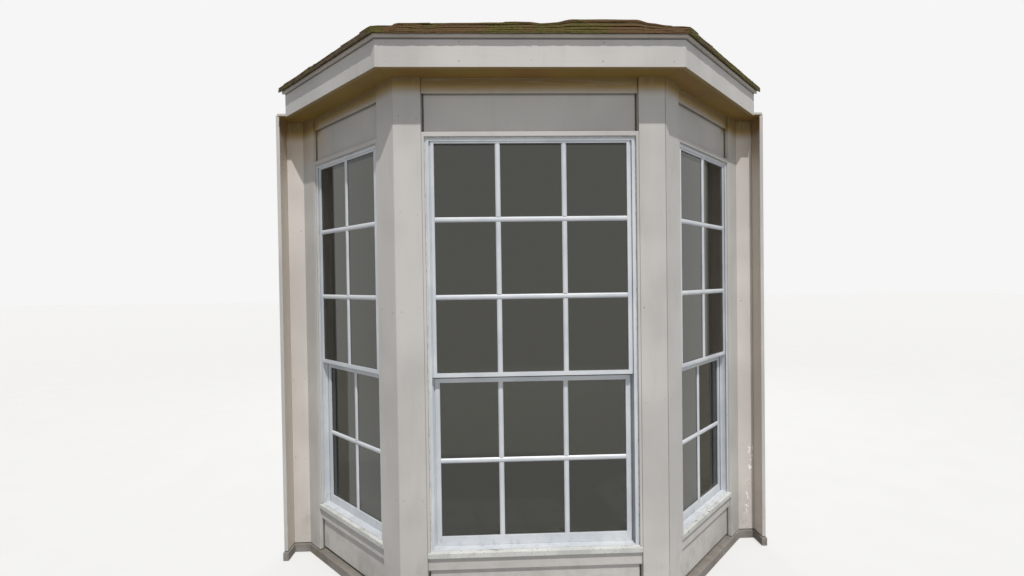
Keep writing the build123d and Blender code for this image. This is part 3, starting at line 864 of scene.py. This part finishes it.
def nails_on(wall, rng):
    """Pairs of nails up the boards, and rows of them along the fascia and the frieze."""
    shape = Shape()
    if wall == "front":
        columns = [(x, 0.0) for x in FRONT_BOARD_NAILS]
        columns += [(x, BAY_DEPTH - BOARD_THICKNESS) for x in WALL_BOARD_NAILS]
        fascia_half = FRONT_HALF
    else:
        columns = [(SIDES[wall] * (a - CANT_MIDDLE), 0.0) for a in SIDE_BOARD_NAILS]
        fascia_half = SIDE_FASCIA_HALF
    for x, depth in columns:
        for level in BOARD_NAIL_LEVELS:
            nail(shape, wall, x, depth, level, rng)
    nail_row(shape, wall, fascia_half, FASCIA_NAILS, -EAVE_OVERHANG, FASCIA_NAIL_LEVELS, rng)
    frieze_half = RECESS[wall] / 2 - FRIEZE_NAIL_INSET
    nail_row(shape, wall, frieze_half, FRIEZE_NAILS, FRIEZE_FACE, FRIEZE_NAIL_LEVELS, rng)
    piece(f"nails_{wall}", shape, nail_look)


nail_rng = random.Random(5)
for wall in WALLS:
    nails_on(wall, nail_rng)
    for name, sash in PANES.items():
        window_bars(wall, name, sash)
        glazing(wall, name, sash)
    caulk_line(wall)
    weatherstrip(wall)


# Roof: a deck, the layers of its ragged eave edge, courses of tabs, hip caps and moss

COURSE = 0.127
TAB_WIDTH = 0.30
TAB_THICKNESS = 0.005
TAB_LEAST_WIDTH = 0.004

# Heights from the roof's top plane, and the gap that the deck and the tabs leave at the wall
DECK_TOP = -0.0125
FIELD_TOP = -0.0065
TO_WALL = 0.0005

# The layers of old shingles at the eave, and the rows of points in each: depth, cut edge, share of the lift
EAVE_LAYERS = 5
EAVE_STACK = ROOF_DROP - 0.007
EAVE_ROWS = ((-EAVE_OUT, True, 1.0), (-EAVE_OUT + 0.02, False, 0.78), (-0.06, False, 0.0))
EAVE_CELL = 0.016
LIFT_POWER = 1.4

# How far the shingles at the front eave stand up, at places along it
LIFT = (
    (-0.575, 0.0),
    (-0.550, 0.015),
    (-0.38, 0.016),
    (-0.14, 0.017),
    (-0.07, 0.021),
    (-0.01, 0.020),
    (0.04, 0.015),
    (0.09, 0.018),
    (0.17, 0.030),
    (0.43, 0.030),
    (0.49, 0.017),
    (0.56, 0.009),
    (0.62, 0.0),
)

HIP_STEP = 0.105
HIP_LAP = 0.03
HIP_REACH = 0.085
HIP_THICKNESS = 0.0042

# The share of a hip cap's reach that bends down over the hip, and how far
HIP_FOLD = 0.3
HIP_FOLD_DROP = 0.0022

# How many lumps of moss are tried on each roof face; where noise keeps the face bare, they are left out
MOSS_LUMPS = {"front": 420, "left": 240, "right": 240}


def roof_point(wall, a, depth, h):
    """A point h above a roof face; a runs from the middle of the front or from the corner of a side."""
    z = EAVE_TOP + (depth + EAVE_OUT) * PITCH
    local_x = a if wall == "front" else SIDES[wall] * (a - CANT_MIDDLE)
    out = max(depth - h * math.sin(SLOPE), -EAVE_OUT)
    return WALLS[wall] @ Vector((local_x, out, z + h * math.cos(SLOPE)))


def roof_span(wall, depth):
    """Where a level line on a roof face starts and ends."""
    if wall == "front":
        reach = FRONT_HALF - depth * MITRE
        return -reach, reach
    return depth * MITRE, (ROOF_DEPTH - depth * math.cos(TURN)) / math.sin(TURN)


def roof_deck(wall):
    """The closed deck under the shingles, set back a little from the eave's edge."""
    shape = Shape()
    front = -EAVE_OUT + 0.008
    back = ROOF_DEPTH - TO_WALL
    cells = 8
    top, bottom = [], []
    for depth in (front, (front + back) / 2, back):
        low, high = roof_span(wall, depth)
        line = [low + (high - low) * i / cells for i in range(cells + 1)]
        top.append([roof_point(wall, a, depth, DECK_TOP) for a in line])
        bottom.append([roof_point(wall, a, depth, -ROOF_DROP) for a in line])
    shape.sheet(top, bottom)
    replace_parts(piece(f"roof_deck_{wall}", shape, shingle), f"roof_{wall}")


def flat(a):
    return 0.0


def lifted(a):
    """How far the old shingles at the front eave stand up, in long low waves."""
    for (a0, h0), (a1, h1) in zip(LIFT, LIFT[1:]):
        if a0 <= a < a1:
            t = (a - a0) / (a1 - a0)
            return h0 + (h1 - h0) * t * t * (3 - 2 * t)
    return 0.0


def carried(a):
    """How much of the lift the layers under the top one follow; they stay down near the left end."""
    return 1 - 0.5 * math.exp(-(((a + 0.43) / 0.05) ** 2))


def evened(rows):
    """Rows with as many points as the first one, each taken from the nearest place in its row."""
    count = len(rows[0])
    return [[row[round(k * (len(row) - 1) / (count - 1))] for k in range(count)] for row in rows]


def eave_layers(wall, rng):
    """Old layers of shingles one on another, each with its own ragged edge."""
    shape = Shape()
    wave = lifted if wall == "front" else flat
    side = SIDES.get(wall, 0)
    last = EAVE_LAYERS - 1
    for i in range(EAVE_LAYERS):
        base = -ROOF_DROP + 0.001 + EAVE_STACK * i / EAVE_LAYERS
        thick = EAVE_STACK / EAVE_LAYERS * rng.uniform(0.80, 0.95)
        inset = rng.uniform(0.0, 0.0025) if i < last else 0.001
        top_share = (i / last) ** LIFT_POWER
        bottom_share = ((i - 0.7) / last) ** LIFT_POWER if i else 0.0
        top, bottom = [], []
        for depth, cut_edge, share in EAVE_ROWS:
            low, high = roof_span(wall, depth)
            cells = max(8, int((high - low) / EAVE_CELL))
            row_top, row_bottom = [], []
            for j in range(cells + 1):
                a = low + (high - low) * j / cells
                ragged = noise.noise(Vector((a * 38, i * 7.3, side * 5.1)))
                fine = noise.noise(Vector((a * 140, i * 3.7, side * 2.9)))
                torn = max(0.0, 0.0025 * ragged + 0.0015 * fine + 0.0008)
                back = inset + torn if cut_edge else 0.0
                sag = 0.0012 * noise.noise(Vector((a * 9, i * 1.7, 4.4)))
                rise = wave(a) * carried(a) * share
                over, under = base + thick + sag + rise * top_share, base + sag + rise * bottom_share
                for row, h in ((row_top, over), (row_bottom, under)):
                    row.append(roof_point(wall, a, depth + back + h * math.sin(SLOPE), h))
            top.append(row_top)
            bottom.append(row_bottom)
        shape.sheet(evened(top), evened(bottom))
    piece(f"eave_shingle_layers_{wall}", shape, shingle)


def tab(shape, wall, span, depths, curl, wave, rng):
    """One shingle tab between two level lines, cut at the hips, with its butt edge curled up."""
    cols, rows = 8, 6
    phase = rng.uniform(0, 50)
    top, bottom = [], []
    for i in range(rows + 1):
        v = i / rows
        depth = depths[0] + (depths[1] - depths[0]) * v
        low, high = roof_span(wall, depth)
        start, end = max(span[0], low), min(span[1], high)
        if end - start < TAB_LEAST_WIDTH:
            if i < 2:
                return
            break
        line_top, line_bottom = [], []
        for j in range(cols + 1):
            u = j / cols
            a = start + (end - start) * u
            wear = 0.0015 * noise.noise(Vector((a * 40, phase, v * 3)))
            lift = curl * (1 - v) ** 2.2 * (0.35 + 0.65 * abs(2 * u - 1) ** 1.5)
            h = FIELD_TOP - TAB_THICKNESS * v + lift + wave(a) * (1 - v) ** 1.5
            jag = abs(0.003 * noise.noise(Vector((a * 90, phase, 7.0)))) if i == 0 else 0.0
            line_top.append(roof_point(wall, a, depth + jag, h))
            line_bottom.append(roof_point(wall, a, depth + jag, h - TAB_THICKNESS * 0.75 + wear))
        top.append(line_top)
        bottom.append(line_bottom)
    shape.sheet(top, bottom)


def shingle_courses(wall, rng):
    """Courses of tabs from the eave up to the wall; the first one at the front stands up in waves."""
    shape = Shape()
    run = COURSE * math.cos(SLOPE)
    depth = -EAVE_OUT + 0.001
    course = 0
    while depth < ROOF_DEPTH - 0.01:
        top = min(depth + run + 0.012, ROOF_DEPTH - TO_WALL)
        low, high = roof_span(wall, depth)
        a = low - TAB_WIDTH * (0.5 if course % 2 else 0.2) + rng.uniform(-0.02, 0.02)
        while a < high:
            width = TAB_WIDTH + rng.uniform(-0.012, 0.012)
            curl = rng.choice((0.0, 0.001, 0.002, 0.004))
            wave, gap = (lifted, 0.0004) if wall == "front" and course == 0 else (flat, 0.002)
            tab(shape, wall, (a + gap, a + width - gap), (depth, top), curl, wave, rng)
            a += width
        depth += run
        course += 1
    piece(f"shingles_{wall}", shape, shingle)


def hip_point(side_name, q, depth, h):
    """A point of a hip cap: q runs from -1 on the front roof face over the hip to 1 on the side's."""
    away = abs(q) * HIP_REACH
    if q <= 0:
        corner = roof_span("front", depth)[1]
        point = roof_point("front", SIDES[side_name] * (corner - away), depth, h)
    else:
        low, high = roof_span(side_name, depth)
        point = roof_point(side_name, low + max(0.0, min(away, high - low)), depth, h)
    if abs(q) < HIP_FOLD:
        point.z -= HIP_FOLD_DROP * (1 - abs(q) / HIP_FOLD)
    return point


def hip_caps(side_name):
    """Folded tabs that cover a hip from the eave up to the wall."""
    shape = Shape()
    rows, cols = 5, 12
    foot = -EAVE_OUT + 0.002
    while foot < ROOF_DEPTH - 0.02:
        head = min(foot + HIP_STEP + HIP_LAP, ROOF_DEPTH - 0.003)
        top, bottom = [], []
        for i in range(rows + 1):
            v = i / rows
            depth = foot + (head - foot) * v
            line_top, line_bottom = [], []
            for j in range(cols + 1):
                q = -1 + 2 * j / cols
                h = -0.0012 - 0.0045 * v - 0.0012 * q**2 + 0.0015 * (1 - v) * abs(q)
                line_top.append(hip_point(side_name, q, depth, h))
                line_bottom.append(hip_point(side_name, q, depth, h - HIP_THICKNESS))
            top.append(line_top)
            bottom.append(line_bottom)
        shape.sheet(top, bottom)
        foot += HIP_STEP
    piece(f"hip_shingles_{side_name}", shape, shingle)


def clump(shape, centre, size, rng):
    """A rough lump of moss, pressed flat."""
    bm = bmesh.new()
    bmesh.ops.create_icosphere(bm, subdivisions=2, radius=1.0)
    phase = Vector((rng.uniform(0, 90), rng.uniform(0, 90), rng.uniform(0, 90)))
    points = []
    for v in bm.verts:
        bump = 1 + 0.45 * noise.noise(v.co * 2.3 + phase)
        points.append(centre + Vector((v.co.x, v.co.y, v.co.z * 0.55)) * size * bump)
    faces = [[v.index for v in f.verts] for f in bm.faces]
    bm.free()
    shape.add(points, faces)


def moss_on(wall, rng, amount):
    """Lumps of moss in patches, most of them near the eave's edge."""
    shape = Shape()
    for _ in range(amount):
        near_edge = rng.random() < 0.72
        depth = -EAVE_OUT + (rng.uniform(0.007, 0.03) if near_edge else rng.uniform(0.03, 0.5))
        low, high = roof_span(wall, depth)
        if high - low < 0.06:
            continue
        a = rng.uniform(low + 0.02, high - 0.02)
        if near_edge and wall in SIDES and rng.random() < 0.12:
            a = low + rng.uniform(0.012, 0.05) if wall == "right" else high - rng.uniform(0.012, 0.05)
        if noise.noise(Vector((a * 6, depth * 6, SIDES.get(wall, 0) * 3))) < -0.12:
            continue
        size = rng.uniform(0.003, 0.0085)
        clump(shape, roof_point(wall, a, depth, FIELD_TOP - 0.002), size, rng)
    piece(f"moss_{wall}", shape, moss, smooth=80.0)


rng = random.Random(11)
for wall, amount in MOSS_LUMPS.items():
    roof_deck(wall)
    eave_layers(wall, rng)
    shingle_courses(wall, rng)
    moss_on(wall, rng, amount)
for side_name in SIDES:
    hip_caps(side_name)


# Camera, light and floor

# The camera as it was fitted to the photograph
YAW = math.radians(1.887)
PITCH_DOWN = math.radians(0.778)
ROLL = math.radians(-0.8)
CAMERA_AT = (-0.1624, -2.4203, 1.4896)
LENS = 17.47

# What the lamps light, and the way the sun shines, from the shadow of the eave
LAMP_TARGET = (0, 0, 1.3)
SUN_RAYS = (-0.078, 0.494, -0.866)

BACKGROUND = (0.92, 0.92, 0.92)
SKY_LIGHT = (0.97, 0.985, 1.0)
SKY_STRENGTH = 0.36
FLOOR_GREY = ((0.285, 0.285, 0.282), (0.295, 0.295, 0.292))
FLOOR_HALF = 40.0
FLOOR_LEVEL = -0.0006


def camera():
    """The camera, turned, tipped and rolled as the photograph's was."""
    flat_ahead = math.cos(PITCH_DOWN)
    ahead = Vector((math.sin(YAW) * flat_ahead, math.cos(YAW) * flat_ahead, -math.sin(PITCH_DOWN)))
    level_right = Vector((math.cos(YAW), -math.sin(YAW), 0))
    level_up = level_right.cross(ahead)
    right = math.cos(ROLL) * level_right + math.sin(ROLL) * level_up
    up = -math.sin(ROLL) * level_right + math.cos(ROLL) * level_up
    data = bpy.data.cameras.new("camera")
    data.lens = LENS
    data.sensor_width = 36
    data.clip_start = 0.05
    data.clip_end = 200
    turned = Matrix((right, up, -ahead)).transposed().to_4x4()
    obj = placed("camera", data)
    obj.matrix_world = Matrix.Translation(CAMERA_AT) @ turned
    bpy.context.scene.camera = obj


def aim(obj, direction):
    obj.rotation_euler = Vector(direction).to_track_quat("-Z", "Y").to_euler()


def soft_lamp(name, place, size, power, colour=(1, 1, 1)):
    """A round lamp that lights the bay but isn't seen itself."""
    light = bpy.data.lights.new(name, "AREA")
    light.shape = "DISK"
    light.size = size
    light.energy = power
    light.color = colour
    lamp = placed(name, light)
    lamp.location = place
    aim(lamp, Vector(LAMP_TARGET) - Vector(place))
    lamp.visible_camera = False
    lamp.visible_transmission = False
    lamp.visible_glossy = False


def sun():
    """Warm sunlight that draws the shadows of the eave and the bars."""
    light = bpy.data.lights.new("sun", "SUN")
    light.energy = 3.35
    light.angle = math.radians(1.0)
    light.color = (1.0, 0.975, 0.94)
    aim(placed("sun", light), SUN_RAYS)


def studio_world():
    """A pale background where it is seen, and a plain soft light for everything else."""
    world = bpy.data.worlds.new("studio")
    bpy.context.scene.world = world
    world.use_nodes = True
    sky = Nodes(world.node_tree)
    pale = sky.node("ShaderNodeBackground", {"Color": BACKGROUND})
    soft = sky.node("ShaderNodeBackground", {"Color": SKY_LIGHT, "Strength": SKY_STRENGTH})
    mix = sky.node("ShaderNodeMixShader", {0: sky.seen(), 1: soft.outputs[0], 2: pale.outputs[0]})
    sky.node("ShaderNodeOutputWorld", {0: mix.outputs[0]})


def pale_floor():
    """A floor that takes the bay's shadow and shows as pale as the background."""
    r = FLOOR_HALF
    mesh = bpy.data.meshes.new("floor")
    mesh.from_pydata([(-r, -r, 0), (r, -r, 0), (r, r, 0), (-r, r, 0)], [], [(0, 1, 2, 3)])
    look = Look("pale floor")
    colour = look.two_tone(look.noise(look.place(), 3.0, 2.0), *FLOOR_GREY, 0.3, 0.7)
    glow = look.product(look.seen(), 0.47)
    mesh.materials.append(look.finish(colour, 0.9, Emission_Color=(1.0, 1.0, 1.0), Emission_Strength=glow))
    floor = placed("floor", mesh)
    floor.location.z = FLOOR_LEVEL


camera()
soft_lamp("fill", (1.0, -6.4, 2.0), 3.5, 80, (0.96, 0.985, 1.0))
soft_lamp("back", (0.5, 5.0, 3.6), 3.5, 90)
sun()
studio_world()
pale_floor()

bpy.context.scene.view_settings.view_transform = "Standard"
